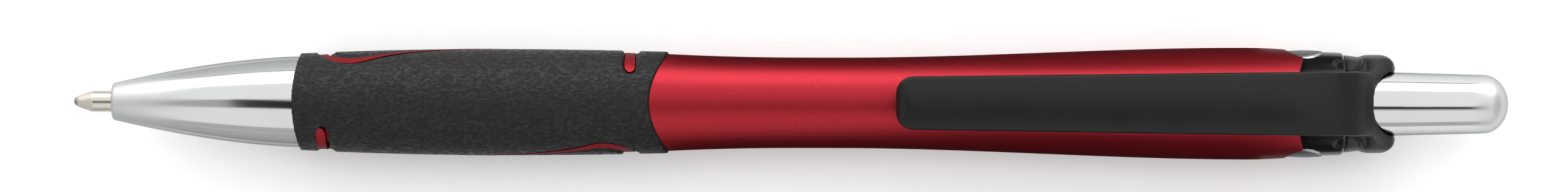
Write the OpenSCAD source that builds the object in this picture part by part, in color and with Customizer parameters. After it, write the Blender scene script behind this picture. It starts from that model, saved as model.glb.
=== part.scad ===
// Push-button ballpoint pen, lying on its side with the clip up and the writing point out.
// In the finished frame the pen's axis is X, the point is at -X and the clip faces +Z.
// Each piece is drawn in the pen's own frame: z runs from the ball back to the button,
// x points to the clip's side, and the whole is laid down at the end. Sizes are millimetres.

/* [Writing point] */
// Length of the writing point that stands out of the nose
tip_out = 3.9; // [3:0.1:5]
// How far the ball draws back behind the nose's front face
tip_hide = 1.7; // [0.8:0.1:2.2]
// Radius of the writing ball
ball_r = 0.5; // [0.4:0.02:0.58]
// Radius of the rim that holds the ball
rim_r = 0.6; // [0.58:0.02:0.8]
// Place of the rim along the point, as a share of the ball's radius
rim_at = 0.85; // [0.8:0.01:0.95]
// Radius of the straight part of the point
point_r = 1.11; // [1:0.01:1.2]
// Length of the point's cone, ball included
point_cone_len = 2; // [1.6:0.1:2.6]
// Length of the point from the ball to its holder
point_len = 12; // [11:0.1:14]
// Length of the point's pin in its holder
pin_len = 3; // [2:0.1:4]
// How much thinner the pin is than the point
pin_step = 0.3; // [0.2:0.02:0.4]

/* [Nose cone] */
// Length of the cone from its front face to the barrel
nose_len = 19.2; // [16:0.1:24]
// Radius of the cone where it meets the barrel
nose_rear_r = 4.6; // [4.4:0.05:5]
// Radius of the cone at its front face, before the edge is rounded
nose_tip_r = 1.85; // [1.75:0.05:2.3]
// How bulged the cone is, where 1 is a straight cone
nose_power = 1.63; // [1.3:0.01:2]
// Rounding of the cone's front edge
nose_edge = 0.45; // [0.2:0.05:0.5]
// Length of the narrow bore that guides the point
nose_land = 6; // [5:0.1:7]
// Length of the stem that goes into the barrel
nose_stem_len = 8; // [5:0.1:12]

/* [Barrel] */
// Length of the barrel from the nose to the collar
barrel_len = 101; // [95:0.5:115]
// Radius of the barrel's inside
bore_r = 3.45; // [3.2:0.05:3.6]
// Radius of the waist, the thinnest place
waist_r = 4.585; // [4.4:0.005:4.9]
// Radius of the widest place
widest_r = 5.66; // [5.4:0.02:6]
// Drop of the surface from the widest place to the rear end
tail_drop = 0.34; // [0.1:0.02:0.5]
// Length from the widest place to the rear end
tail_len = 6; // [4:0.5:9]
// Length of the flare between the grip and the waist
flare_len = 13.1; // [8:0.1:16]
// Length of the straight waist
waist_len = 4.3; // [2:0.1:8]
// Radius of the bow that shapes the rear end seen from the side
end_bow = 13.4; // [10:0.1:20]

/* [Grip sleeve] */
// Length of the sleeve at its sides
grip_len = 37; // [33:0.5:42]
// Thickness of the rubber
grip_wall = 0.9; // [0.7:0.05:1]
// Height of the sleeve's front lip above the nose cone
grip_lip_t = 0.31; // [0.2:0.01:0.45]
// How far the lip reaches over the nose cone, above and below
grip_lip_len = 0.75; // [0.4:0.05:1]
// Rise of the surface from the front to the widest place
grip_bulge = 0.475; // [0.2:0.005:0.6]
// Drop of the surface from the widest place to the rear
grip_drop = 0.25; // [0.1:0.01:0.4]
// Distance of the widest place from the front
grip_peak = 19.9; // [15:0.1:25]
// How far the lip reaches over the nose cone at the sides
grip_lip_side = 0.12; // [0.05:0.01:0.2]
// Radius of the bow that shapes the rear edge seen from the side
grip_bow = 7.5; // [7:0.1:12]
// Height of the sleeve's rear edge above the barrel
grip_step = 0.22; // [0.1:0.01:0.35]

/* [Grip slits] */
// Distance of a slit's front bar from the sleeve's front
slit_front = 2.45; // [2:0.05:3]
// Distance of a slit's rear bar from the sleeve's rear
slit_rear = 3.7; // [3.4:0.05:4.5]
// Depth at which a slit's floor lies off the pen's middle plane
slit_inset = 1.5; // [1:0.1:2.5]
// Half the width of a slit's frame at its middle
slit_waist = 0.28; // [0.24:0.01:0.34]
// Half the width of a slit's frame at its drop-shaped turn
slit_drop = 0.62; // [0.5:0.02:0.7]
// Half the width of a slit's frame at its cross bar
bar_half = 0.88; // [0.75:0.01:0.95]
// Width of the opening in a slit's frame, as a share of the frame's width
slit_share = 0.66; // [0.6:0.01:0.75]
// Distance along the pen from the turn's start to the cross bar
turn_len = 4; // [3.4:0.1:4.4]
// Height of the turn's start above the pen's middle plane
turn_up = 2.55; // [2.3:0.05:2.7]
// Height of the cross bar's start above the middle plane
bar_up = 0.2; // [0.1:0.1:0.5]
// Depth of the cross bar's end below the middle plane
bar_end_down = 3.46; // [3:0.02:3.5]
// How wide the turn swings out
turn_swing = 1.9; // [1.5:0.1:2.1]
// How far the barrel's ribs lie below the rubber's surface at a slit's middle
rib_sink = 0.08; // [0.05:0.01:0.15]
// How far the barrel's ribs lie below the rubber's surface at a cross bar
bar_sink = 0.22; // [0.16:0.01:0.35]
// How far the openings and the ribs stand forward in their frames
rib_ahead = 0.12; // [0:0.01:0.16]

/* [Cam housing] */
// How far the housing reaches into the barrel
housing_depth = 12.8; // [12:0.1:14]
// Wall between the cam grooves and the housing's outside
housing_wall = 0.43; // [0.35:0.01:0.5]
// Length of the collar's band and the end cap's neck behind the barrel
collar_len = 5.7; // [5.4:0.1:7]
// Length of the collar's wide band
band_len = 4.2; // [3.8:0.1:4.4]
// Drop of the band's surface over its length
band_drop = 0.13; // [0:0.01:0.2]
// Chamfer of the band's rear edge
band_edge = 0.25; // [0.05:0.01:0.3]
// Width of the relief beside the clip
relief_w = 1.5; // [1:0.1:1.8]
// Angle of the relief from the clip's middle
relief_angle = 52; // [48:1:60]
// Length that the relief cuts into the band
relief_len = 1.15; // [0.9:0.05:1.5]

/* [Badges] */
// Half the length of the oval badges along the pen
badge_half_len = 1.95; // [1.6:0.05:2.2]
// Half the height of the badges around the pen
badge_half_h = 2.5; // [2:0.05:2.8]
// Place of the badges behind the barrel's end
badge_back = 0.2; // [0:0.05:0.6]
// Height of the badges above the barrel's end
badge_proud = 0.1; // [0.05:0.01:0.25]

/* [End cap] */
// Length of the end cap's ring
cap_len = 3.8; // [3.4:0.1:4.6]
// Wall of the neck in front of the ring
neck_wall = 1.44; // [1.3:0.02:1.5]
// Drop of the neck's surface over its length
neck_drop = 0.19; // [0.1:0.01:0.25]
// Height of the ring above the neck
ring_step = 0.22; // [0.1:0.01:0.4]
// Rounding of the ring's rear edge
ring_round = 1.6; // [0.8:0.1:1.6]
// Length of the ramp from the neck up to the ring
ring_ramp = 0.85; // [0.5:0.05:1]
// Length of the spigot that goes into the collar
spigot_len = 2; // [1.5:0.1:3]
// Wall of the spigot
spigot_wall = 0.65; // [0.5:0.05:0.8]
// Radius of the arch from the clip's top down to the button
arch_r = 12.3; // [11:0.1:14]

/* [Clip] */
// Length of the clip from its tip to its root
clip_len = 42.5; // [36:0.5:48]
// Distance of the clip's root behind the barrel's end
clip_root_back = 1.4; // [1:0.1:2]
// Width of the clip at its tip
clip_tip_w = 5.35; // [4.6:0.05:6]
// Width of the clip at its root
clip_root_w = 6.45; // [6:0.05:7]
// Thickness of the clip
clip_t = 1.8; // [1.5:0.05:2.2]
// Gap between the clip and the barrel's widest place
clip_clear = 0.44; // [0.35:0.01:0.8]
// Rounding of the clip's tip, seen from above
clip_corner = 1.7; // [1:0.1:2]
// Radius of the clip's crowned top
clip_crown = 10; // [7:0.5:14]
// Rounding of the clip's tip, seen from the side
clip_tip_round = 1.3; // [0.8:0.1:1.5]
// Radius of the pip that grips the pocket
pip_r = 1.6; // [1.2:0.1:1.8]
// Distance of the pip from the clip's tip
pip_back = 2.4; // [2:0.1:4]
// Gap between the pip and the barrel
pip_gap = 0.15; // [0.1:0.01:0.3]

/* [Push button] */
// Radius of the button where it enters the end cap
button_r = 3.2; // [3:0.02:3.25]
// Radius of the button where its dome begins
button_end_r = 2.97; // [2.8:0.01:3]
// Length of the button behind the end cap, with the point out
button_out = 11.4; // [9:0.1:13]
// Length of the button's dome
dome_len = 2.52; // [1.5:0.02:3]
// Length of the button still guided when it is fully out
button_keep = 2.4; // [1.5:0.1:2.8]
// Radius of the thruster's tail inside the button
tail_r = 2.2; // [1.8:0.05:2.3]
// Length of the thruster's tail inside the button
tail_in = 10; // [6:0.5:12]

/* [Click cam] */
// How far the button can be pressed past the writing position
overtravel = 1; // [0.6:0.1:1.4]
// Width of the cam's ribs and the thruster's lugs
rib_t = 1.1; // [0.9:0.05:1.3]
// Depth of the guide grooves
groove_depth = 0.55; // [0.45:0.01:0.6]
// Length of the cam's ribs
rib_len = 3.2; // [2.6:0.1:4]
// Height of the saw teeth
tooth_h = 0.8; // [0.5:0.05:1]
// Gap that lets the cam turn past the teeth
lift_gap = 0.15; // [0.1:0.01:0.3]
// Radius of the cam's core
core_r = 2; // [1.7:0.05:2.1]
// Length of the cam's spigot inside the thruster
core_tail = 4; // [2:0.5:6]
// Room behind the cam's spigot in the thruster's well
well_spare = 1; // [0.5:0.1:2]
// Distance of the thruster's lugs from its front end
lug_from = 1.5; // [1.2:0.1:2]
// Length of the thruster's lugs
lug_len = 3; // [2:0.1:3.4]

/* [Refill] */
// Radius of the refill's tube
tube_r = 1.55; // [1.45:0.01:1.6]
// Wall of the refill's tube
tube_wall = 0.4; // [0.3:0.02:0.5]
// Length of the ink in the tube
ink_len = 62; // [10:1:70]
// Depth of the cam's cup over the tube's end
cup_depth = 1.6; // [1:0.1:2]
// Wall of the cam's cup
cup_wall = 0.6; // [0.4:0.05:0.8]
// Thickness of the cup's floor
cup_floor = 1; // [0.6:0.1:1.5]
// Radius of the point's holder
holder_r = 1.4; // [1.3:0.02:1.5]
// Thickness of the holder's flange
flange_t = 0.8; // [0.6:0.1:1.2]
// Length of the holder's plug in the tube
plug_len = 4; // [2:0.5:6]

/* [Spring] */
// Length of the spring with the point out
spring_len = 15.6; // [13:0.1:18]
// Radius of the spring's wire
wire_r = 0.2; // [0.15:0.01:0.22]
// Radius of the spring's coil, to the middle of the wire
coil_r = 1.88; // [1.8:0.01:1.95]
// Number of turns
turns = 10; // [7:1:12]

/* [Clearances] */
// Gap between pieces that are fixed together
fit = 0.04; // [0.02:0.01:0.06]
// Gap between a moving piece and its guide
slide_gap = 0.12; // [0.08:0.01:0.15]
// Gap between the spring and its chamber
spring_gap = 0.27; // [0.2:0.01:0.3]
// Gap between the barrel's ribs and the sides of the slits
slit_gap = 0.06; // [0.04:0.01:0.08]

/* [Hidden] */
$fn = 96;
step_count = 20;
arc_steps = 8;
over = 0.5;
wide = 4 * widest_r;

stroke = tip_out + tip_hide;
nose_z = tip_out;
grip_z = nose_z + nose_len;
end_z = grip_z + barrel_len;
cap_z = end_z + collar_len;
cap_end_z = cap_z + cap_len;
pen_len = cap_end_z + button_out;
axis_up = widest_r;

shoulder_z = grip_z + grip_len;
waist_from = shoulder_z + flare_len;
waist_to = waist_from + waist_len;
widest_z = end_z - tail_len;

grip_front_r = nose_rear_r + grip_lip_t;
grip_max_r = grip_front_r + grip_bulge;
shoulder_r = grip_max_r - grip_drop - grip_step;
grip_bow_depth = grip_bow - sqrt(grip_bow * grip_bow - grip_max_r * grip_max_r);
lip_rise = grip_lip_len - grip_lip_side;
lip_bow = (grip_front_r * grip_front_r + lip_rise * lip_rise) / (2 * lip_rise);
slit_half_len = (grip_len - slit_front - slit_rear) / 2;
slit_z = grip_z + slit_front + slit_half_len;
turn_along = slit_half_len - turn_len;

end_r = widest_r - tail_drop;
end_bow_depth = end_bow - sqrt(end_bow * end_bow - widest_r * widest_r);
guide_r = button_r + slide_gap;
groove_r = guide_r + groove_depth;
groove_w = rib_t + 2 * slide_gap;
rib_r = groove_r - slide_gap;
housing_r = groove_r + housing_wall;
housing_seat_r = housing_r + fit;
band_end_z = end_z + band_len;
spigot_r = guide_r + spigot_wall;
neck_r = guide_r + neck_wall;
neck_front_r = neck_r + neck_drop;
ring_r = neck_r + ring_step;

stop_z = end_z - housing_depth;
tooth_w = 2 * guide_r * tan(22.5);
groove_end_z = stop_z + lug_from + lug_len + stroke + lift_gap;
refill_end_z = stop_z - lift_gap - rib_len;
cup_r = tube_r + slide_gap;
cam_front_z = refill_end_z - cup_depth;
room_z = cam_front_z - overtravel - over;
button_z = cap_end_z - stroke - button_keep;
thruster_r = button_r - fit;

spring_z = nose_z + nose_land;
flange_z = spring_z + spring_len;
chamber_r = coil_r + wire_r + spring_gap;
flange_r = coil_r + wire_r;
tube_bore_r = tube_r - tube_wall;
tube_z = flange_z + flange_t + fit;
pin_r = point_r - pin_step;

clip_top = widest_r + clip_clear + clip_t;
clip_under = widest_r + clip_clear;
clip_root_z = end_z + clip_root_back;
clip_tip_z = clip_root_z - clip_len;
arch_x = clip_top - arch_r;
arch_z = cap_end_z - sqrt(arch_r * arch_r - arch_x * arch_x);
root_flare = ring_r - clip_root_w / 2;
badge_z = end_z + badge_back;
badge_top = end_r + badge_proud;

// Radius of the nose cone, a distance t behind its front face.
function nose_radius(t) =
    nose_rear_r - (nose_rear_r - nose_tip_r) * pow(1 - t / nose_len, nose_power);

// Radius of the rubber, a distance b behind the sleeve's front.
function grip_radius(b) =
    b < grip_peak
    ? grip_max_r - grip_bulge * pow((grip_peak - b) / grip_peak, 2)
    : grip_max_r - grip_drop * pow((b - grip_peak) / (grip_len - grip_peak), 2);

// Slow start and slow end between 0 and 1.
function ease(t) = t * t * (3 - 2 * t);

// Radius of the barrel at a place z on the pen, behind the grip.
function barrel_radius(z) =
    z < waist_from ? waist_r + (shoulder_r - waist_r) * pow((waist_from - z) / flare_len, 2)
    : z < waist_to ? waist_r
    : z < widest_z ? waist_r + (widest_r - waist_r) * ease((z - waist_to) / (widest_z - waist_to))
    : widest_r - tail_drop * pow((z - widest_z) / tail_len, 2);

// Points on a circle's arc.
function arc(centre, r, from, to) =
    [for (i = [0:arc_steps]) centre + r * [cos(from + (to - from) * i / arc_steps),
                                           sin(from + (to - from) * i / arc_steps)]];

// Point on a curve that leaves p towards a and arrives at q from b.
function curve(p, a, b, q, t) =
    p * pow(1 - t, 3) + 3 * a * t * pow(1 - t, 2) + 3 * b * t * t * (1 - t) + q * pow(t, 3);

// How far the floor of a slit's frame lies below the rubber, a distance b behind the sleeve's front.
function frame_depth(b) =
    rib_sink + (bar_sink - rib_sink) * pow((grip_z + b - slit_z) / slit_half_len, 2);

// Middle line of half a slit, as [height, along, half width]: a diagonal, a turn and a cross bar.
function slit_line() =
    let (turn = [turn_up, -turn_along], bar = [bar_up, -slit_half_len],
         a = turn + turn_swing * turn / norm(turn), b = bar + [turn_swing, 0])
    concat(
        [for (i = [1:arc_steps]) let (t = i / arc_steps)
            [turn[0] * t, turn[1] * t, slit_waist + (slit_drop - slit_waist) * pow(t, 3)]],
        [for (i = [1:arc_steps]) let (t = i / arc_steps, p = curve(turn, a, b, bar, t))
            [p[0], p[1], slit_drop + (bar_half - slit_drop) * t]],
        [[-bar_end_down, -slit_half_len, bar_half]]);

// Outline of a whole slit, with a share of its width less a gap; it is alike when turned half round.
function slit_outline(share, gap) =
    let (half = slit_line(), n = len(half),
         line = concat([for (i = [n - 1:-1:0]) [-half[i][0], -half[i][1], half[i][2]]],
                       [[0, 0, slit_waist]], half),
         last = len(line) - 1,
         width = [for (p = line) p[2] * share - gap],
         way = [for (i = [0:last]) let (d = line[min(i + 1, last)] - line[max(i - 1, 0)]) atan2(d[1], d[0])])
    concat(
        [for (i = [0:last - 1])
            [line[i][0] + width[i] * sin(way[i]), line[i][1] - width[i] * cos(way[i])]],
        arc([line[last][0], line[last][1]], width[last], way[last] - 90, way[last] + 90),
        [for (i = [last - 1:-1:1])
            [line[i][0] - width[i] * sin(way[i]), line[i][1] + width[i] * cos(way[i])]],
        arc([line[0][0], line[0][1]], width[0], way[0] + 90, way[0] + 270));

// Solid of revolution around the pen's axis from a list of [radius, z].
module spin(points) {
    rotate_extrude() polygon(points);
}

// Cylinder across the pen that shapes an end seen from the side; its rear line is at z.
module bow(z, r) {
    translate([0, 0, z - r]) rotate([90, 0, 0]) cylinder(r = r, h = 2 * wide, center = true);
}

// What lies behind a bow that ends at z.
module behind_bow(z, r, depth) {
    difference() {
        translate([-wide, -wide, z - depth - over]) cube([2 * wide, 2 * wide, depth + wide]);
        bow(z, r);
    }
}

// Prisms of the slits on both sides of the grip, moved ahead along the pen.
module slits(share, gap, ahead) {
    for (side = [0, 180])
        rotate([0, 0, side]) rotate([90, 0, 0]) translate([0, slit_z - ahead, slit_inset + gap])
            linear_extrude(wide) polygon(slit_outline(share, gap));
}

// Four solids set around the axis at the guide grooves.
module four() {
    for (turn = [45:90:315]) rotate([0, 0, turn]) children();
}

// Eight solids set around the axis at the saw teeth.
module eight() {
    for (turn = [22.5:45:337.5]) rotate([0, 0, turn]) children();
}

// Prism of an outline [across, z], pushed out along x from r_in to r_out.
module key(outline, r_in, r_out) {
    translate([r_in, 0, 0]) rotate([90, 0, 90]) linear_extrude(r_out - r_in) polygon(outline);
}

// Outer lines of the clip and of its root: the arch down to the button and the crowned top.
module clip_shave() {
    difference() {
        translate([0, -wide, arch_z]) cube([wide, 2 * wide, wide]);
        translate([arch_x, 0, arch_z]) rotate([90, 0, 0])
            cylinder(r = arch_r, h = 2 * wide + over, center = true);
    }
    difference() {
        translate([clip_under, -wide, clip_tip_z - over]) cube([wide, 2 * wide, clip_len + wide]);
        translate([clip_top - clip_crown, 0, clip_tip_z - wide])
            cylinder(r = clip_crown, h = clip_len + 3 * wide);
    }
}

// Chrome nose: a bulged cone with a narrow front bore, a spring chamber and a stem.
module nose_cone() {
    edge_r = nose_radius(nose_edge);
    color("silver") spin(concat(
        [[point_r + slide_gap, nose_z]],
        arc([edge_r - nose_edge, nose_z + nose_edge], nose_edge, -90, 0),
        [for (i = [1:step_count]) let (t = nose_edge + (nose_len - nose_edge) * i / step_count)
            [nose_radius(t), nose_z + t]],
        [[bore_r - fit, grip_z],
         [bore_r - fit, grip_z + nose_stem_len],
         [chamber_r, grip_z + nose_stem_len],
         [chamber_r, spring_z],
         [point_r + slide_gap, spring_z]]));
}

// Red barrel: waisted tube with a recess and raised ribs for the grip and a wide rear bore.
module barrel() {
    front = shoulder_z - grip_bow_depth;
    seat_len = grip_bow_depth + over;
    color("firebrick") difference() {
        union() {
            difference() {
                spin(concat(
                    [[bore_r, grip_z]],
                    [for (i = [0:step_count]) let (b = (front - grip_z) * i / step_count)
                        [grip_radius(b) - grip_wall - fit, grip_z + b]],
                    [for (i = [0:step_count]) let (z = front + (waist_from - front) * i / step_count)
                        [barrel_radius(z), z]],
                    [for (i = [0:step_count]) let (z = waist_to + (widest_z - waist_to) * i / step_count)
                        [barrel_radius(z), z]],
                    [for (i = [1:arc_steps]) let (z = widest_z + (tail_len + over) * i / arc_steps)
                        [barrel_radius(z), z]],
                    [[housing_seat_r, end_z + over],
                     [housing_seat_r, room_z],
                     [bore_r, room_z - housing_seat_r + bore_r]]));
                intersection() {
                    spin(concat(
                        [for (i = [0:arc_steps]) let (b = grip_len - seat_len * (1 - i / arc_steps))
                            [grip_radius(b) - grip_wall - fit, grip_z + b]],
                        [[wide, shoulder_z], [wide, shoulder_z - seat_len]]));
                    bow(shoulder_z + fit, grip_bow + fit);
                }
                behind_bow(end_z, end_bow, end_bow_depth);
            }
            intersection() {
                slits(slit_share, slit_gap, rib_ahead);
                spin(concat(
                    [for (i = [0:step_count]) let (b = grip_len * i / step_count)
                        [grip_radius(b) - frame_depth(b), grip_z + b]],
                    [for (i = [step_count:-1:0]) let (b = grip_len * i / step_count)
                        [grip_radius(b) - grip_wall - 2 * fit, grip_z + b]]));
            }
        }
        for (side = [1, -1]) badge_prism(side, housing_seat_r, slit_gap);
    }
}

// Black rubber sleeve with bowed ends and two S-shaped slits in sunk frames.
module grip_sleeve() {
    long = grip_len + over;
    color("dimgray") difference() {
        spin(concat(
            [[nose_rear_r + fit, grip_z - 2 * grip_lip_len],
             [grip_front_r, grip_z - 2 * grip_lip_len]],
            [for (i = [0:step_count]) let (b = long * i / step_count) [grip_radius(b), grip_z + b]],
            [for (i = [step_count:-1:0]) let (b = long * i / step_count)
                [grip_radius(b) - grip_wall, grip_z + b]],
            [[nose_rear_r + fit, grip_z]]));
        bow(grip_z - grip_lip_side, lip_bow);
        behind_bow(shoulder_z, grip_bow, grip_bow_depth);
        slits(slit_share, 0, rib_ahead);
        intersection() {
            slits(1, 0, 0);
            spin(concat(
                [for (i = [0:step_count]) let (b = grip_len * i / step_count)
                    [grip_radius(b) - frame_depth(b), grip_z + b]],
                [[wide, shoulder_z], [wide, grip_z]]));
        }
    }
}

// Oval prism of a badge on one flank, from the seat outwards and with a gap around it.
module badge_prism(side, seat, gap) {
    translate([0, 0, badge_z]) rotate([-90 * side, 0, 0]) translate([0, 0, seat]) linear_extrude(wide)
        scale([badge_half_h + gap, badge_half_len + gap]) circle(r = 1);
}

// Black collar with the cam guide inside: four grooves and eight saw-tooth stops.
module cam_housing() {
    band_r = end_r - band_drop;
    color("dimgray") difference() {
        union() {
            spin([[guide_r, stop_z],
                  [housing_r, stop_z],
                  [housing_r, band_end_z],
                  [spigot_r + fit, band_end_z],
                  [spigot_r + fit, band_end_z - spigot_len - fit],
                  [guide_r, band_end_z - spigot_len - fit]]);
            difference() {
                spin([[housing_r - over, end_z - end_bow_depth],
                      [end_r, end_z - end_bow_depth],
                      [end_r, end_z],
                      [band_r, band_end_z - band_edge],
                      [band_r - band_edge, band_end_z],
                      [spigot_r + fit, band_end_z],
                      [spigot_r + fit, end_z + over],
                      [housing_r - over, end_z + over]]);
                difference() {
                    bow(end_z + fit, end_bow + fit);
                    translate([0, 0, end_z - 2 * end_bow_depth]) cylinder(r = housing_r, h = wide);
                }
            }
        }
        four() translate([0, -groove_w / 2, stop_z - over])
            cube([groove_r, groove_w, groove_end_z - stop_z + over]);
        eight() key([[-tooth_w / 2, stop_z], [tooth_w / 2, stop_z + tooth_h], [tooth_w / 2, stop_z - over],
                     [-tooth_w / 2, stop_z - over]], core_r, wide);
        for (side = [1, -1]) {
            badge_prism(side, housing_seat_r, slit_gap);
            rotate([0, 0, side * relief_angle]) {
                translate([neck_front_r, 0, band_end_z - relief_len + relief_w / 2]) rotate([0, 90, 0])
                    cylinder(d = relief_w, h = wide);
                translate([neck_front_r, -relief_w / 2, band_end_z - relief_len + relief_w / 2])
                    cube([wide, relief_w, relief_len - relief_w / 2 + over / 4]);
            }
        }
    }
}

// Black ring that closes the pen's end, with a neck, a spigot in the collar and the root of the clip.
module end_cap() {
    half = clip_root_w / 2;
    flare_z = cap_z + ring_ramp / 2 - root_flare;
    color("dimgray") difference() {
        union() {
            spin(concat(
                [[guide_r, band_end_z - spigot_len],
                 [spigot_r, band_end_z - spigot_len],
                 [spigot_r, band_end_z + fit],
                 [neck_front_r, band_end_z + fit]],
                [for (i = [0:arc_steps]) let (t = i / arc_steps)
                    [neck_r + ring_step * ease(t), cap_z + ring_ramp * t]],
                arc([ring_r - ring_round, cap_end_z - ring_round], ring_round, 0, 90),
                [[guide_r, cap_end_z]]));
            difference() {
                union() {
                    key([[-half, clip_root_z], [half, clip_root_z], [half, cap_end_z - ring_round],
                         [-half, cap_end_z - ring_round]], 0, clip_top);
                    intersection() {
                        key(concat(
                            arc([half + root_flare, flare_z], root_flare, 180, 90),
                            arc([-half - root_flare, flare_z], root_flare, 90, 0)), 0, wide);
                        translate([0, 0, flare_z]) cylinder(r = ring_r, h = root_flare);
                    }
                }
                spin([[0, clip_root_z - over],
                      [clip_under, clip_root_z - over],
                      [end_r + clip_clear, band_end_z + fit],
                      [0, band_end_z + fit]]);
            }
        }
        clip_shave();
        translate([0, 0, clip_root_z - over]) cylinder(r = guide_r, h = wide);
    }
}

// Plain oval chrome plate that follows the barrel's roundness.
module badge(side) {
    color("silver") intersection() {
        badge_prism(side, housing_seat_r + fit, 0);
        translate([0, 0, badge_z - wide / 2]) cylinder(r = badge_top, h = wide);
    }
}

module badge_left() {
    badge(-1);
}

module badge_right() {
    badge(1);
}

// Black clip: a crowned, tapered arm with a rounded tip and a pip underneath.
module clip() {
    tip = clip_tip_w / 2;
    root = clip_root_w / 2;
    pip_z = clip_tip_z + pip_back;
    pip_low = barrel_radius(pip_z) + pip_gap;
    color("dimgray") difference() {
        union() {
            key(concat(
                [[root, clip_root_z - fit], [-root, clip_root_z - fit]],
                arc([clip_corner - tip, clip_tip_z + clip_corner], clip_corner, 180, 270),
                arc([tip - clip_corner, clip_tip_z + clip_corner], clip_corner, 270, 360)),
                clip_under, clip_top);
            translate([pip_low + pip_r, 0, pip_z]) sphere(r = pip_r);
        }
        clip_shave();
        difference() {
            translate([clip_top - clip_tip_round, -wide, clip_tip_z - over])
                cube([wide, 2 * wide, clip_tip_round + over]);
            translate([clip_top - clip_tip_round, 0, clip_tip_z + clip_tip_round]) rotate([90, 0, 0])
                cylinder(r = clip_tip_round, h = 2 * wide + over, center = true);
        }
    }
}

// Chrome button: a slightly tapered shell with a domed end.
module push_button() {
    dome_z = pen_len - dome_len;
    socket_end = button_z + tail_in + fit;
    color("silver") spin(concat(
        [[tail_r + fit, button_z],
         [button_r, button_z],
         [button_r, cap_end_z],
         [button_end_r, dome_z]],
        [for (i = [1:step_count - 1]) let (a = 90 * i / step_count)
            [button_end_r * cos(a), dome_z + dome_len * sin(a)]],
        [[0, pen_len],
         [0, socket_end],
         [tail_r + fit, socket_end]]));
}

// White push rod: crown teeth in front, four lugs in the grooves, a tail in the button.
module thruster() {
    well_end = stop_z - lift_gap + core_tail + well_spare;
    color("gainsboro") difference() {
        union() {
            spin([[0, stop_z],
                  [thruster_r, stop_z],
                  [thruster_r, button_z - fit],
                  [tail_r, button_z - fit],
                  [tail_r, button_z + tail_in],
                  [0, button_z + tail_in]]);
            four() translate([core_r + over, -rib_t / 2, stop_z + lug_from])
                cube([rib_r - core_r - over, rib_t, lug_len]);
        }
        translate([0, 0, stop_z - over]) cylinder(r = core_r + slide_gap, h = well_end - stop_z + over);
        eight() key([[-tooth_w / 2, stop_z], [0, stop_z + tooth_h], [tooth_w / 2, stop_z],
                     [tooth_w / 2, stop_z - over], [-tooth_w / 2, stop_z - over]], core_r, wide);
    }
}

// White cam: a core with four slant-ended ribs and a cup for the refill's end.
module cam_rotor() {
    rib_end = refill_end_z + rib_len;
    slant = tooth_h * rib_t / tooth_w;
    color("whitesmoke") union() {
        spin([[0, refill_end_z + fit],
              [cup_r, refill_end_z + fit],
              [cup_r, cam_front_z],
              [cup_r + cup_wall, cam_front_z],
              [cup_r + cup_wall, refill_end_z + cup_floor],
              [core_r, refill_end_z + cup_floor],
              [core_r, rib_end + core_tail],
              [0, rib_end + core_tail]]);
        four() key([[-rib_t / 2, refill_end_z], [rib_t / 2, refill_end_z], [rib_t / 2, rib_end],
                    [-rib_t / 2, rib_end - slant]], core_r - over / 2, rib_r);
    }
}

// Steel compression spring with closed end turns.
module return_spring() {
    around = 16;
    sides = 6;
    low = spring_z + wire_r + fit;
    high = flange_z - wire_r - fit;
    closed = 2 * wire_r + fit;
    rings = turns * around;
    function rise(t) =
        t < 1 ? closed * t
        : t > turns - 1 ? high - low - closed * (turns - t)
        : closed + (high - low - 2 * closed) * (t - 1) / (turns - 2);
    function ring(i) = [for (k = [0:sides - 1]) let (
        a = 360 * i / around,
        r = coil_r + wire_r * cos(360 * k / sides))
        [r * cos(a), r * sin(a), low + rise(i / around) + wire_r * sin(360 * k / sides)]];
    points = [for (i = [0:rings]) each ring(i)];
    skin = [for (i = [0:rings - 1], k = [0:sides - 1]) let (
        m = (k + 1) % sides,
        a = i * sides,
        b = a + sides)
        each [[a + k, a + m, b + k], [a + m, b + m, b + k]]];
    ends = [[for (k = [sides - 1:-1:0]) k], [for (k = [0:sides - 1]) rings * sides + k]];
    color("slategray") polyhedron(points, concat(skin, ends));
}

// Clear plastic tube of the refill.
module refill_tube() {
    color("lightgray") spin([[tube_bore_r, tube_z],
                             [tube_r, tube_z],
                             [tube_r, refill_end_z],
                             [tube_bore_r, refill_end_z]]);
}

// Ink in the tube.
module ink_column() {
    color("black") translate([0, 0, tube_z + plug_len + fit])
        cylinder(r = tube_bore_r - fit, h = ink_len);
}

// Plastic holder of the point, with the flange that the spring pushes on.
module tip_holder() {
    color("gainsboro") spin([[pin_r + fit, point_len + fit],
                             [holder_r, point_len + fit],
                             [holder_r, flange_z],
                             [flange_r, flange_z],
                             [flange_r, flange_z + flange_t],
                             [tube_bore_r - fit, flange_z + flange_t],
                             [tube_bore_r - fit, tube_z + plug_len],
                             [ball_r, tube_z + plug_len],
                             [ball_r, point_len + pin_len + fit],
                             [pin_r + fit, point_len + pin_len + fit]]);
}

// Metal point: a cone with a socket for the ball, a straight part and a pin in the holder.
module writing_point() {
    color("burlywood") difference() {
        spin([[0, ball_r * rim_at],
              [rim_r, ball_r * rim_at],
              [point_r, point_cone_len],
              [point_r, point_len],
              [pin_r, point_len],
              [pin_r, point_len + pin_len],
              [0, point_len + pin_len]]);
        translate([0, 0, ball_r]) sphere(r = ball_r + fit / 2);
        translate([0, 0, ball_r]) cylinder(r = ball_r / 2, h = point_len + pin_len);
    }
}

// Writing ball.
module point_ball() {
    color("gray") translate([0, 0, ball_r]) sphere(r = ball_r);
}

translate([-pen_len / 2, 0, axis_up]) rotate([0, 90, 0]) rotate([0, 0, 180]) {
    nose_cone();
    barrel();
    grip_sleeve();
    cam_housing();
    end_cap();
    badge_left();
    badge_right();
    clip();
    push_button();
    thruster();
    cam_rotor();
    return_spring();
    refill_tube();
    ink_column();
    tip_holder();
    writing_point();
    point_ball();
}
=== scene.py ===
import math

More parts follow.
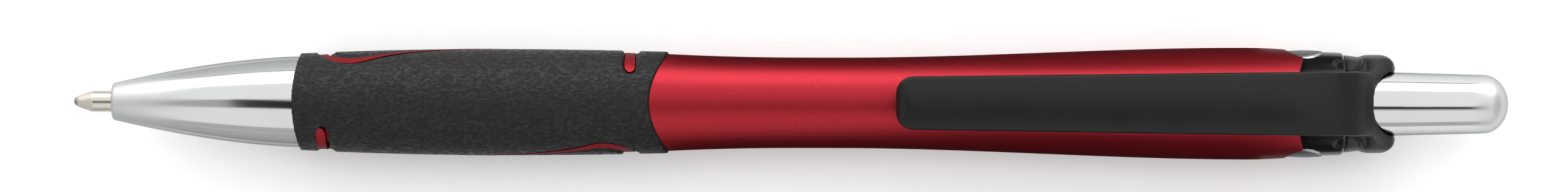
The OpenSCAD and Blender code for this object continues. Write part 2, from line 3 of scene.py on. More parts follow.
import bpy
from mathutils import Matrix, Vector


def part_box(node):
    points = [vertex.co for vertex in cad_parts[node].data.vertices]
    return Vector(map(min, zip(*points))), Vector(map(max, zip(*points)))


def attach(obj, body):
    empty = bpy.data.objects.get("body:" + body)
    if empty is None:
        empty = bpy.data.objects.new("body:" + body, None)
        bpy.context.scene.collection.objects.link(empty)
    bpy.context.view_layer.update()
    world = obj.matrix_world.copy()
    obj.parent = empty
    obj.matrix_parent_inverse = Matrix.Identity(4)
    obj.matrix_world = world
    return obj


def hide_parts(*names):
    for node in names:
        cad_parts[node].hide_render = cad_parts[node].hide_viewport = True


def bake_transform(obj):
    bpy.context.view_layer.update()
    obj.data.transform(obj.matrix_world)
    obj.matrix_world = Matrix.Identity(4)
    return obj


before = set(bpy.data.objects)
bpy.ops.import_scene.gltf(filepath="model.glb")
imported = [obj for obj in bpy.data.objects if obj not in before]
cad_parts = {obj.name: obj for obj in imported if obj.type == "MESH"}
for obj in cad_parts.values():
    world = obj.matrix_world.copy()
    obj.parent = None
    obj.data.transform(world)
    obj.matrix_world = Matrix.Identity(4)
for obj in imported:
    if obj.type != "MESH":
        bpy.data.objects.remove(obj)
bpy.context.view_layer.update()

# Writing point
# A point of nickel silver, turned on a lathe, crimped round the ball in front and pressed into the
# refill's plastic holder behind. The alloy shines warm, and the cutting tool leaves fine rings.
mm = 0.001
hair = 0.0005 * mm
lathe_sides = 128
lathe_edge = 32
point_low, point_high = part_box("writing_point")
ball_low, ball_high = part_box("point_ball")
holder_front_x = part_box("tip_holder")[0].x
axis_z = (point_low.z + point_high.z) / 2
point_r = point_high.z - axis_z
ball_r = (ball_high.x - ball_low.x) / 2
socket_r = ball_r + 0.02 * mm
rim_r = 0.58 * mm
rim_round = 0.05 * mm
cone_end_x = ball_low.x + 2 * mm
cone_bulge = 1.08
cone_crease = 0.04 * mm
cone_steps = 12
socket_reach = 97
socket_steps = 12
neck_x = holder_front_x - 0.04 * mm
neck_edge = 0.1 * mm
pin_r = point_r - 0.3 * mm
point_sides = 96


def turned(name, section, sides=lathe_sides):
    """A round piece: half its section, as (place along the pen, radius), drawn and spun round the pen's axis."""
    bpy.ops.object.select_all(action="DESELECT")
    x, r = section[0]
    bpy.ops.mesh.primitive_plane_add(size=mm, location=(x, 0, axis_z + r))
    piece = bpy.context.object
    piece.name = piece.data.name = name
    bpy.ops.object.transform_apply(location=True)
    bpy.ops.object.mode_set(mode="EDIT")
    bpy.ops.mesh.merge(type="CENTER")
    for (x0, r0), (x1, r1) in zip(section, section[1:]):
        bpy.ops.mesh.extrude_region_move(TRANSFORM_OT_translate={"value": (x1 - x0, 0, r1 - r0)})
    bpy.ops.mesh.select_all(action="SELECT")
    bpy.ops.mesh.spin(steps=sides, angle=2 * math.pi, center=(0, 0, axis_z), axis=(1, 0, 0))
    bpy.ops.mesh.select_all(action="SELECT")
    bpy.ops.mesh.remove_doubles(threshold=hair)
    bpy.ops.mesh.normals_make_consistent(inside=False)
    bpy.ops.object.mode_set(mode="OBJECT")
    bpy.ops.object.shade_smooth_by_angle(angle=math.radians(lathe_edge))
    return piece


def quarter(x, r, size, start, steps=6):
    """Quarter of a circle round (x, r), from the angle start on, for a rounded edge of a section."""
    turn = [math.radians(start + 90 * i / steps) for i in range(steps + 1)]
    return [(x + size * math.cos(a), r + size * math.sin(a)) for a in turn]


def linear(colour):
    """An sRGB hex colour as linear red, green, blue and alpha."""
    parts = [int(colour[i:i + 2], 16) / 255 for i in (1, 3, 5)]
    return [c / 12.92 if c <= 0.04045 else ((c + 0.055) / 1.055) ** 2.4 for c in parts] + [1]


def add(tree, kind, inputs={}, **settings):
    """Adds a node with its settings, and fills its inputs with values or with the outputs of other nodes."""
    node = tree.nodes.new(kind)
    for name, value in settings.items():
        setattr(node, name, value)
    for name, value in inputs.items():
        if isinstance(value, bpy.types.NodeSocket):
            tree.links.new(value, node.inputs[name])
        else:
            node.inputs[name].default_value = value
    return node


def finish(name):
    """A new material: its node tree, its shader, and the places on the piece in metres."""
    material = bpy.data.materials.new(name)
    material.use_nodes = True
    tree = material.node_tree
    shader = tree.nodes["Principled BSDF"]
    place = add(tree, "ShaderNodeTexCoord").outputs["Object"]
    return material, tree, shader, place


socket_turn = [math.radians(socket_reach * i / socket_steps) for i in range(socket_steps + 1)]
cone_from_x = point_low.x + rim_round
point_section = [(ball_low.x + ball_r + socket_r * math.cos(a), socket_r * math.sin(a)) for a in socket_turn]
point_section += [(point_low.x, rim_r - rim_round)]
for step in range(cone_steps + 1):
    share = step / cone_steps
    point_section.append((cone_from_x + (cone_end_x - cone_from_x) * share,
                          rim_r + (point_r - rim_r) * (1 - (1 - share) ** cone_bulge)))
point_section += [(cone_end_x + cone_crease, point_r), (neck_x - neck_edge, point_r), (neck_x, point_r - neck_edge),
                  (neck_x, pin_r), (point_high.x, pin_r), (point_high.x, 0)]
point = turned("point_turned", point_section, point_sides)

# Nickel silver, turned: a warm pale metal whose fine tool rings blur its reflections round the axis, dull on the
# crimped cone and brighter behind it. The rings are drawn 0.1 mm apart, coarser than a real lathe's.
ring_gap = 0.1 * mm
nickel_silver, tree, shader, place = finish("nickel_silver_turned")
rings = add(tree, "ShaderNodeTexWave", {"Vector": place, "Scale": math.pi / 10 / ring_gap, "Distortion": 0.4},
            wave_type="BANDS", bands_direction="X", wave_profile="SIN")
worn = add(tree, "ShaderNodeTexNoise", {"Vector": place, "Scale": 1 / (0.6 * mm), "Detail": 3})
tone = add(tree, "ShaderNodeMix", {"Factor": worn.outputs["Fac"], "A": linear("#CDC8C0"), "B": linear("#BDB7AD")},
           data_type="RGBA")
along = add(tree, "ShaderNodeSeparateXYZ", {"Vector": place})
dull = add(tree, "ShaderNodeMapRange", {"Value": along.outputs["X"], "From Min": cone_end_x - cone_crease,
                                        "From Max": cone_end_x + cone_crease, "To Min": 0.48, "To Max": 0.2})
blur = add(tree, "ShaderNodeMath", {0: worn.outputs["Fac"], 1: 0.1, 2: dull.outputs["Result"]},
           operation="MULTIPLY_ADD")
relief = add(tree, "ShaderNodeBump", {"Height": rings.outputs["Fac"], "Strength": 0.05, "Distance": 0.01 * mm})
tree.links.new(tone.outputs["Result"], shader.inputs["Base Color"])
tree.links.new(blur.outputs["Value"], shader.inputs["Roughness"])
tree.links.new(relief.outputs["Normal"], shader.inputs["Normal"])
shader.inputs["Metallic"].default_value = 1
point.data.materials.append(nickel_silver)
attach(point, "refill")
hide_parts("writing_point")

# Writing ball
# A ground ball of tungsten carbide, one millimetre across, held by the crimped rim and wet with ink.
# The grinding leaves it dull grey, darker where ink clings to it.
carbide, tree, shader, place = finish("tungsten_carbide_ground")
film = add(tree, "ShaderNodeTexNoise", {"Vector": place, "Scale": 1 / (0.25 * mm), "Detail": 4})
tone = add(tree, "ShaderNodeMix", {"Factor": film.outputs["Fac"], "A": linear("#A3A09C"), "B": linear("#747072")},
           data_type="RGBA")
blur = add(tree, "ShaderNodeMapRange", {"Value": film.outputs["Fac"], "To Min": 0.22, "To Max": 0.4})
tree.links.new(tone.outputs["Result"], shader.inputs["Base Color"])
tree.links.new(blur.outputs["Result"], shader.inputs["Roughness"])
shader.inputs["Metallic"].default_value = 1
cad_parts["point_ball"].material_slots[0].material = carbide

# Refill
# A clear polypropylene tube of ink, closed in front by a moulded acetal holder whose flange the spring
# pushes on. The tube is extruded, so faint lines run along it; the holder is milky and slightly waxy.
line_gap = 0.3 * mm
clear_tube, tree, shader, place = finish("polypropylene_extruded_clear")
along = add(tree, "ShaderNodeMapping", {"Vector": place, "Scale": (0.02, 1, 1)})
lines = add(tree, "ShaderNodeTexNoise", {"Vector": along.outputs["Vector"], "Scale": 1 / line_gap, "Detail": 2})
haze = add(tree, "ShaderNodeMapRange", {"Value": lines.outputs["Fac"], "To Min": 0.12, "To Max": 0.3})
relief = add(tree, "ShaderNodeBump", {"Height": lines.outputs["Fac"], "Strength": 0.15, "Distance": 0.02 * mm})
tree.links.new(haze.outputs["Result"], shader.inputs["Roughness"])
tree.links.new(relief.outputs["Normal"], shader.inputs["Normal"])
shader.inputs["Base Color"].default_value = linear("#EEF1F2")
shader.inputs["Transmission Weight"].default_value = 0.85
shader.inputs["IOR"].default_value = 1.49
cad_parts["refill_tube"].material_slots[0].material = clear_tube

ink, tree, shader, place = finish("ballpoint_ink_paste")
swirl = add(tree, "ShaderNodeTexNoise", {"Vector": place, "Scale": 1 / (1.5 * mm), "Detail": 3, "Distortion": 1})
tone = add(tree, "ShaderNodeMix", {"Factor": swirl.outputs["Fac"], "A": linear("#0B0B12"), "B": linear("#1A1A28")},
           data_type="RGBA")
tree.links.new(tone.outputs["Result"], shader.inputs["Base Color"])
shader.inputs["Roughness"].default_value = 0.15
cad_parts["ink_column"].material_slots[0].material = ink

acetal, tree, shader, place = finish("acetal_moulded_white")
flow = add(tree, "ShaderNodeTexNoise", {"Vector": place, "Scale": 1 / (2 * mm), "Detail": 3})
skin = add(tree, "ShaderNodeTexNoise", {"Vector": place, "Scale": 1 / (0.12 * mm), "Detail": 2})
tone = add(tree, "ShaderNodeMix", {"Factor": flow.outputs["Fac"], "A": linear("#F0EFEA"), "B": linear("#E2E1DA")},
           data_type="RGBA")
blur = add(tree, "ShaderNodeMapRange", {"Value": flow.outputs["Fac"], "To Min": 0.35, "To Max": 0.5})
relief = add(tree, "ShaderNodeBump", {"Height": skin.outputs["Fac"], "Strength": 0.1, "Distance": 0.01 * mm})
tree.links.new(tone.outputs["Result"], shader.inputs["Base Color"])
tree.links.new(blur.outputs["Result"], shader.inputs["Roughness"])
tree.links.new(relief.outputs["Normal"], shader.inputs["Normal"])
shader.inputs["IOR"].default_value = 1.48
shader.inputs["Subsurface Weight"].default_value = 0.15
shader.inputs["Subsurface Scale"].default_value = 0.5 * mm
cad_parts["tip_holder"].material_slots[0].material = acetal

# Return spring
# A compression spring wound from drawn steel wire, with closed end turns. Its front end stands in the nose
# cone and its rear end against the refill's flange.
spring_low, spring_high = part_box("return_spring")
wire_r = 0.2 * mm
coil_r = spring_high.z - axis_z - wire_r
coil_count = 10
coil_steps = 32
wire_sides = 12
wire_edge = 40
closed_rise = 2 * wire_r + 0.04 * mm
spring_rise = spring_high.x - spring_low.x - 2 * wire_r
even_rise = spring_rise / coil_count
open_rise = (spring_rise - 2 * closed_rise) / (coil_count - 2)
wire_start_x = spring_low.x + wire_r

bpy.ops.object.select_all(action="DESELECT")
bpy.ops.mesh.primitive_circle_add(vertices=wire_sides, radius=wire_r, location=(wire_start_x, 0, coil_r),
                                  rotation=(math.pi / 2, 0, 0))
spring = bpy.context.object
spring.name = spring.data.name = "spring_wound"
bpy.ops.object.transform_apply(location=True, rotation=True)
winding = spring.modifiers.new("winding", "SCREW")
winding.axis = "X"
winding.angle = coil_count * 2 * math.pi
winding.screw_offset = spring_rise
winding.steps = winding.render_steps = coil_count * coil_steps
bpy.ops.object.modifier_apply(modifier="winding")
for vertex in spring.data.vertices:
    part_turn = math.atan2(-vertex.co.y, vertex.co.z) / (2 * math.pi)
    reach = (vertex.co.x - wire_start_x) / even_rise
    turn = round(reach - part_turn) + part_turn
    rise = (closed_rise * turn if turn < 1
            else spring_rise - closed_rise * (coil_count - turn) if turn > coil_count - 1
            else closed_rise + open_rise * (turn - 1))
    vertex.co.x += rise - even_rise * turn
    vertex.co.z += axis_z
bpy.ops.object.mode_set(mode="EDIT")
bpy.ops.mesh.select_all(action="SELECT")
bpy.ops.mesh.fill_holes(sides=0)
bpy.ops.mesh.normals_make_consistent(inside=False)
bpy.ops.object.mode_set(mode="OBJECT")
bpy.ops.object.shade_smooth_by_angle(angle=math.radians(wire_edge))

# Spring steel, drawn: a cool grey wire with faint lines from the die.
spring_steel, tree, shader, place = finish("spring_steel_drawn")
draw = add(tree, "ShaderNodeTexNoise", {"Vector": place, "Scale": 1 / (0.15 * mm), "Detail": 3})
blur = add(tree, "ShaderNodeMapRange", {"Value": draw.outputs["Fac"], "To Min": 0.22, "To Max": 0.42})
tone = add(tree, "ShaderNodeMix", {"Factor": draw.outputs["Fac"], "A": linear("#B9BBBE"), "B": linear("#97999D")},
           data_type="RGBA")
tree.links.new(tone.outputs["Result"], shader.inputs["Base Color"])
tree.links.new(blur.outputs["Result"], shader.inputs["Roughness"])
shader.inputs["Metallic"].default_value = 1
spring.data.materials.append(spring_steel)
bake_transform(spring)
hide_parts("return_spring")

# Nose cone
# A bulged cone moulded in ABS and chrome plated, with a rounded mouth for the point, a chamber for the
# spring and a stem that screws into the barrel.
nose_low, nose_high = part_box("nose_cone")
barrel_low, barrel_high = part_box("barrel")
nose_rear_r = nose_high.z - axis_z
nose_tip_r = 1.85 * mm
nose_power = 1.63
nose_edge = 0.45 * mm
mouth_r = point_r + 0.12 * mm
mouth_edge = 0.08 * mm
chamber_r = coil_r + wire_r + 0.27 * mm
chamber_x = spring_low.x - 0.04 * mm
stem_r = 3.41 * mm
nose_len = barrel_low.x - nose_low.x
nose_steps = 48
nose_sides = 160
worn_len = 10 * mm


def nose_radius(behind):
    """Radius of the nose cone, a distance behind its mouth."""
    return nose_rear_r - (nose_rear_r - nose_tip_r) * (1 - behind / nose_len) ** nose_power


edge_r = nose_radius(nose_edge)
nose_section = [(nose_low.x + mouth_edge, mouth_r), (nose_low.x, mouth_r + mouth_edge)]
nose_section += reversed(quarter(nose_low.x + nose_edge, edge_r - nose_edge, nose_edge, 90, 8))
for step in range(1, nose_steps + 1):
    behind = nose_edge + (nose_len - nose_edge) * step / nose_steps
    nose_section.append((nose_low.x + behind, nose_radius(behind)))
nose_section += [(barrel_low.x, stem_r), (nose_high.x, stem_r), (nose_high.x, chamber_r), (chamber_x, chamber_r),
                 (chamber_x, mouth_r), nose_section[0]]
nose = turned("nose_cone_plated", nose_section, nose_sides)

# Bright chrome on moulded ABS: a cool mirror with a faint waviness from the moulding under the plate, a thin haze
# where fingers have touched it, and dull round the mouth, where paper and pockets rub it.
wave_size = 2.5 * mm
chrome, tree, shader, place = finish("chrome_plate_on_abs")
wave = add(tree, "ShaderNodeTexNoise", {"Vector": place, "Scale": 1 / wave_size, "Detail": 2})
touch = add(tree, "ShaderNodeTexNoise", {"Vector": place, "Scale": 1 / (5 * mm), "Detail": 5, "Roughness": 0.6})
along = add(tree, "ShaderNodeSeparateXYZ", {"Vector": place})
dull = add(tree, "ShaderNodeMapRange", {"Value": along.outputs["X"], "From Min": nose_low.x,
                                        "From Max": nose_low.x + worn_len, "To Min": 0.5, "To Max": 0.06},
           interpolation_type="SMOOTHSTEP")
haze = add(tree, "ShaderNodeMath", {0: touch.outputs["Fac"], 1: 0.12, 2: dull.outputs["Result"]},
           operation="MULTIPLY_ADD")
tone = add(tree, "ShaderNodeMix", {"Factor": touch.outputs["Fac"], "A": linear("#CACBCB"), "B": linear("#C0C1C2")},
           data_type="RGBA")
relief = add(tree, "ShaderNodeBump", {"Height": wave.outputs["Fac"], "Strength": 0.12, "Distance": 0.03 * mm})
tree.links.new(tone.outputs["Result"], shader.inputs["Base Color"])
tree.links.new(haze.outputs["Value"], shader.inputs["Roughness"])
tree.links.new(relief.outputs["Normal"], shader.inputs["Normal"])
shader.inputs["Metallic"].default_value = 1
shader.inputs["Specular Tint"].default_value = linear("#B4B5B6")
nose.data.materials.append(chrome)
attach(nose, "housing")
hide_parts("nose_cone")

# Barrel
# A waisted tube moulded in ABS and sprayed with red metallic lacquer. It carries a recess for the grip with
# raised S-shaped ribs, a wide bore for the cam housing behind, and oval notches for the badges.
grip_low, grip_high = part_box("grip_sleeve")
badge_low, badge_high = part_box("badge_left")
housing_low, housing_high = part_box("cam_housing")
grip_max_r = grip_high.z - axis_z
grip_front_r = grip_max_r - 0.475 * mm
grip_rear_r = grip_max_r - 0.25 * mm
grip_peak_x = barrel_low.x + 19.9 * mm
grip_wall = 0.9 * mm
grip_bow = 7.5 * mm
shoulder_x = grip_high.x
shoulder_r = grip_rear_r - 0.22 * mm
waist_r = 4.585 * mm
flare_len = 13.1 * mm
waist_len = 4.3 * mm
widest_r = barrel_high.z - axis_z
tail_len = 6 * mm
tail_drop = 0.34 * mm
end_bow = 13.4 * mm
rim_edge = 0.12 * mm
bore_r = stem_r + 0.04 * mm
seat_r = 4.34 * mm
room_x = housing_low.x - 6.45 * mm
fit = 0.04 * mm
recess_steps, skin_steps = 24, 72
barrel_sides = 160
barrel_edge = 28
bow_zone = 8 * mm
notch_gap = 0.06 * mm
notch_half_h = (badge_high.z - badge_low.z) / 2 + notch_gap


def bow_depth(up, bow):
    """How far an edge that is bowed seen from the side is drawn in, at a height above the axis."""
    return bow - math.sqrt(bow * bow - up * up)


end_x = barrel_high.x + bow_depth(notch_half_h, end_bow)
waist_from_x = shoulder_x + flare_len
waist_to_x = waist_from_x + waist_len
widest_x = end_x - tail_len


def grip_radius(x):
    """Radius of the rubber at a place along the pen."""
    if x < grip_peak_x:
        share = (grip_peak_x - x) / (grip_peak_x - barrel_low.x)
        return grip_max_r - (grip_max_r - grip_front_r) * share ** 2
    share = (x - grip_peak_x) / (shoulder_x - grip_peak_x)
    return grip_max_r - (grip_max_r - grip_rear_r) * share ** 2


def barrel_radius(x):
    """Radius of the lacquered barrel at a place along the pen, behind the grip."""
    if x < waist_from_x:
        return waist_r + (shoulder_r - waist_r) * ((waist_from_x - x) / flare_len) ** 2
    if x < waist_to_x:
        return waist_r
    if x < widest_x:
        share = (x - waist_to_x) / (widest_x - waist_to_x)
        return waist_r + (widest_r - waist_r) * share * share * (3 - 2 * share)
    return widest_r - tail_drop * ((x - widest_x) / tail_len) ** 2


barrel_section = [(barrel_low.x, bore_r)]
for step in range(recess_steps + 1):
    x = barrel_low.x + (shoulder_x - barrel_low.x) * step / recess_steps
    barrel_section.append((x, grip_radius(x) - grip_wall - fit))
skin_end_x = end_x - rim_edge
for step in range(skin_steps + 1):
    x = shoulder_x + (skin_end_x - shoulder_x) * step / skin_steps
    barrel_section.append((x, barrel_radius(x)))
barrel_section += reversed(quarter(skin_end_x, barrel_radius(skin_end_x) - rim_edge, rim_edge, 0, 4))
barrel_section = barrel_section[:-1]
barrel_section += [(end_x, seat_r), (room_x, seat_r), (room_x - seat_r + bore_r, bore_r), barrel_section[0]]
barrel = turned("barrel_lacquered", barrel_section, barrel_sides)

# The edge under the grip's tail and the rear rim are bowed seen from the side.
for vertex in barrel.data.vertices:
    up, across, x = vertex.co.z - axis_z, vertex.co.y, vertex.co.x
    near_shoulder = max(0, 1 - abs(x - shoulder_x) / bow_zone)
    near_end = max(0, 1 - (end_x - x) / bow_zone)
    r = math.hypot(up, across)
    skin = r > barrel_radius(x) - hair and x > shoulder_x - hair
    if r > bore_r + hair:
        x -= near_shoulder * bow_depth(up, grip_bow) + near_end * bow_depth(up, end_bow)
    vertex.co.x = x
    if skin:
        vertex.co.y = across * barrel_radius(x) / r
        vertex.co.z = axis_z + up * barrel_radius(x) / r


def cad_copy(name, *nodes):
    """The solids of CAD nodes as one new mesh, with their loose triangles merged."""
    bpy.ops.object.select_all(action="DESELECT")
    for node in nodes:
        piece = bpy.data.objects.new(name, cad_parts[node].data.copy())
        bpy.context.collection.objects.link(piece)
        piece.select_set(True)
        bpy.context.view_layer.objects.active = piece
    if len(nodes) > 1:
        bpy.ops.object.join()
    piece = bpy.context.object
    piece.name = piece.data.name = name
    piece.data.materials.clear()
    bpy.ops.mesh.customdata_custom_splitnormals_clear()
    bpy.ops.object.mode_set(mode="EDIT")
    bpy.ops.mesh.select_all(action="SELECT")
    bpy.ops.mesh.remove_doubles(threshold=hair)
    bpy.ops.object.mode_set(mode="OBJECT")
    return piece


def apply_all(piece):
    """Applies every modifier of a piece, in order."""
    bpy.context.view_layer.objects.active = piece
    for modifier in list(piece.modifiers):
        bpy.ops.object.modifier_apply(modifier=modifier.name)


# The ribs' tops are lifted off the solid, raised flush with the rubber along the narrow middle of the S, moved
# forward and narrowed at the front bar, and given depth down into the recess. A thicker copy of them cuts the
# grip's slits open later.
rib_reach = 0.4 * mm
rib_depth = 0.8
cutter_reach = 1.2
rib_end_x = shoulder_x - 2.6 * mm
rib_proud = 0.02 * mm
proud_reach = 12.6 * mm
proud_fade = 4 * mm
bar_x = barrel_low.x + 2.33 * mm
bar_shift = 0.28 * mm
bar_blend = 2.5 * mm
bar_pinch = 0.12
pinch_reach = 1.4 * mm
ribs = cad_copy("barrel_ribs", "barrel")
bpy.ops.object.mode_set(mode="EDIT")
bpy.ops.mesh.select_mode(type="FACE")
bpy.ops.mesh.select_all(action="DESELECT")
bpy.ops.object.mode_set(mode="OBJECT")
for face in ribs.data.polygons:
    corners = [ribs.data.vertices[i].co for i in face.vertices]
    face.select = not all(
        c.x < rib_end_x and math.hypot(c.y, c.z - axis_z) > grip_radius(c.x) - rib_reach for c in corners)
bpy.ops.object.mode_set(mode="EDIT")
bpy.ops.mesh.delete(type="FACE")
bpy.ops.mesh.select_mode(type="VERT")
bpy.ops.object.mode_set(mode="OBJECT")
grip_middle_x = (grip_low.x + grip_high.x) / 2
for vertex in ribs.data.vertices:
    r = math.hypot(vertex.co.y, vertex.co.z - axis_z)
    lift = min(1, max(0, (proud_reach - abs(vertex.co.x - grip_middle_x)) / proud_fade))
    raised = 1 + lift * (grip_radius(vertex.co.x) + rib_proud - r) / r
    vertex.co.y *= raised
    vertex.co.z = axis_z + (vertex.co.z - axis_z) * raised
    off_bar = vertex.co.x - bar_x
    pinch = bar_pinch * max(0, 1 - (off_bar / pinch_reach) ** 2)
    vertex.co.x -= off_bar * pinch + bar_shift * min(1, max(0, 1 - off_bar / bar_blend))


def deepened(sheet, outer, inner):
    """A closed block from a sheet bent round the pen, between two shares of the sheet's distance from the axis."""
    bpy.ops.object.select_all(action="DESELECT")
    sheet.select_set(True)
    bpy.context.view_layer.objects.active = sheet
    bpy.ops.object.mode_set(mode="EDIT")
    bpy.ops.mesh.select_all(action="SELECT")
    bpy.ops.transform.resize(value=(1, outer, outer), center_override=(0, 0, axis_z))
    bpy.ops.mesh.extrude_region_move()
    bpy.ops.transform.resize(value=(1, inner / outer, inner / outer), center_override=(0, 0, axis_z))
    bpy.ops.mesh.select_all(action="SELECT")
    bpy.ops.mesh.normals_make_consistent(inside=False)
    bpy.ops.mesh.quads_convert_to_tris()
    bpy.ops.object.mode_set(mode="OBJECT")


def cleaned(piece):
    """Joins the corners that a cut left too close together, and splits the faces into triangles without slivers."""
    weld = 4 * hair
    bpy.ops.object.select_all(action="DESELECT")
    piece.select_set(True)
    bpy.context.view_layer.objects.active = piece
    bpy.ops.object.mode_set(mode="EDIT")
    bpy.ops.mesh.select_all(action="SELECT")
    bpy.ops.mesh.remove_doubles(threshold=weld)
    for sweep in range(2):
        bpy.ops.mesh.quads_convert_to_tris(quad_method="BEAUTY", ngon_method="BEAUTY")
        bpy.ops.mesh.dissolve_degenerate(threshold=weld)
        bpy.ops.mesh.select_all(action="SELECT")
    bpy.ops.mesh.quads_convert_to_tris(quad_method="BEAUTY", ngon_method="BEAUTY")
    bpy.ops.object.mode_set(mode="OBJECT")


bpy.ops.object.select_all(action="DESELECT")
ribs.select_set(True)
bpy.ops.object.duplicate()
slit_cutter = bpy.context.object
deepened(slit_cutter, cutter_reach, rib_depth)
deepened(ribs, 1, rib_depth)
joined = barrel.modifiers.new("joined", "BOOLEAN")
joined.operation, joined.solver, joined.object = "UNION", "EXACT", ribs
apply_all(barrel)
bpy.data.objects.remove(ribs)

# Oval notches for the badges.
badge_half_len = (badge_high.x - badge_low.x) / 2
badge_x = (badge_low.x + badge_high.x) / 2
badge_sides = 96
bpy.ops.object.select_all(action="DESELECT")
bpy.ops.mesh.primitive_cylinder_add(vertices=badge_sides, radius=badge_half_len + notch_gap, depth=4 * widest_r,
                                    location=(badge_x, 0, axis_z), rotation=(math.pi / 2, 0, 0))
drill = bpy.context.object
drill.scale.y = notch_half_h / (badge_half_len + notch_gap)
notch = barrel.modifiers.new("notch", "BOOLEAN")
notch.operation, notch.solver, notch.object = "DIFFERENCE", "EXACT", drill
apply_all(barrel)
bpy.data.objects.remove(drill)
cleaned(barrel)
bpy.ops.object.shade_smooth_by_angle(angle=math.radians(barrel_edge))

# Red metallic lacquer under a satin clear coat: a broad soft highlight over a deep red body. The flakes lie flat, so
# seen aslant they shine less, which the dark edge tint gives. They are drawn 0.12 mm wide, coarser than real ones.
flake_size = 0.12 * mm
lacquer, tree, shader, place = finish("red_metallic_lacquer_on_abs")
flakes = add(tree, "ShaderNodeTexVoronoi", {"Vector": place, "Scale": 1 / flake_size}, feature="F1")
cloud = add(tree, "ShaderNodeTexNoise", {"Vector": place, "Scale": 1 / (4 * mm), "Detail": 3})
glint = add(tree, "ShaderNodeSeparateColor", {"Color": flakes.outputs["Color"]})
tone = add(tree, "ShaderNodeMix", {"Factor": glint.outputs["Red"], "A": linear("#A31C2A"), "B": linear("#981824")},
           data_type="RGBA")
blur = add(tree, "ShaderNodeMapRange", {"Value": cloud.outputs["Fac"], "To Min": 0.37, "To Max": 0.43})
relief = add(tree, "ShaderNodeBump", {"Height": glint.outputs["Green"], "Strength": 0.04, "Distance": 0.01 * mm})
tree.links.new(tone.outputs["Result"], shader.inputs["Base Color"])
tree.links.new(blur.outputs["Result"], shader.inputs["Roughness"])
tree.links.new(relief.outputs["Normal"], shader.inputs["Normal"])
shader.inputs["Metallic"].default_value = 0.95
shader.inputs["Specular Tint"].default_value = linear("#100204")
shader.inputs["Coat Weight"].default_value = 0.3
shader.inputs["Coat Roughness"].default_value = 0.38
barrel.data.materials.append(lacquer)
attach(barrel, "housing")
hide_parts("barrel")

# Grip sleeve
# A soft rubber sleeve stretched into the barrel's recess, with a bowed lip over the nose cone, a bowed tail
# and two S-shaped slits that the red ribs show through. It is moulded, so every edge is soft.
grip_grid = 0.1 * mm
grip_edge = 45


def softened(piece, grid_size, rounds, keep):
    """Moulded edges: the solid is laid on a fine grid, smoothed for a number of rounds, and thinned."""
    grid = piece.modifiers.new("grid", "REMESH")
    grid.mode, grid.voxel_size = "VOXEL", grid_size
    if rounds:
        soft = piece.modifiers.new("soft", "SMOOTH")
        soft.factor, soft.iterations = 0.5, rounds
        thin = piece.modifiers.new("thin", "DECIMATE")
        thin.ratio = keep
    apply_all(piece)
    bpy.ops.object.select_all(action="DESELECT")
    piece.select_set(True)
    bpy.ops.object.shade_smooth()


grip = cad_copy("grip_moulded", "grip_sleeve")
softened(grip, grip_grid, rounds=4, keep=0.33)
opened = grip.modifiers.new("opened", "BOOLEAN")
opened.operation, opened.solver, opened.object = "DIFFERENCE", "EXACT", slit_cutter
apply_all(grip)
bpy.data.objects.remove(slit_cutter)
cleaned(grip)
bpy.ops.object.shade_smooth_by_angle(angle=math.radians(grip_edge))

# Black rubber with a moulded leather grain: dull and very dark. The short grey wisps along the pen are painted
# highlights, where the colour is lighter on the crests of the grain. The grain is drawn 0.25 to 0.5 mm wide, coarser
# than a real one.
grain_size = 0.34 * mm
rubber, tree, shader, place = finish("black_rubber_moulded_grain")
along = add(tree, "ShaderNodeMapping", {"Vector": place, "Scale": (0.7, 1, 1)})
grain = add(tree, "ShaderNodeTexNoise", {"Vector": along.outputs["Vector"], "Scale": 1 / grain_size, "Detail": 2,
                                         "Roughness": 0.6, "Distortion": 0.3})
patch = add(tree, "ShaderNodeTexNoise", {"Vector": place, "Scale": 1 / (2.2 * mm), "Detail": 3})
crest = add(tree, "ShaderNodeMapRange", {"Value": grain.outputs["Fac"], "From Min": 0.4, "From Max": 0.7},
            interpolation_type="SMOOTHSTEP")
# Painted highlight: the base colour is lighter on the grain's crests, in patches, standing in for the light they
# catch.
crest_painted_highlight = add(tree, "ShaderNodeMath", {0: crest.outputs["Result"], 1: patch.outputs["Fac"]}, operation="MULTIPLY")
tone = add(tree, "ShaderNodeMix", {"Factor": crest_painted_highlight.outputs["Value"], "A": linear("#09090A"), "B": linear("#202022")},
           data_type="RGBA")
blur = add(tree, "ShaderNodeMapRange", {"Value": crest.outputs["Result"], "To Min": 0.66, "To Max": 0.36})
relief = add(tree, "ShaderNodeBump", {"Height": grain.outputs["Fac"], "Strength": 1, "Distance": 0.14 * mm})
tree.links.new(tone.outputs["Result"], shader.inputs["Base Color"])
tree.links.new(blur.outputs["Result"], shader.inputs["Roughness"])
tree.links.new(relief.outputs["Normal"], shader.inputs["Normal"])
shader.inputs["Specular IOR Level"].default_value = 0.31
grip.data.materials.append(rubber)
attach(grip, "housing")
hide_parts("grip_sleeve")

# Click cam
# The push rod with its crown of teeth, and the cam with four slanted ribs that it turns by one step at each
# press. Both are moulded in white acetal, which slides well on itself.
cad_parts["thruster"].material_slots[0].material = acetal
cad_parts["cam_rotor"].material_slots[0].material = acetal

# Cam housing and collar
# A black plastic moulding pressed into the barrel's end: the cam's guide inside the barrel, and outside a wide
# band with a relief on each side of the clip.
plastic_grid = 0.1 * mm
collar = cad_copy("collar_moulded", "cam_housing")
softened(collar, plastic_grid, rounds=6, keep=0.4)

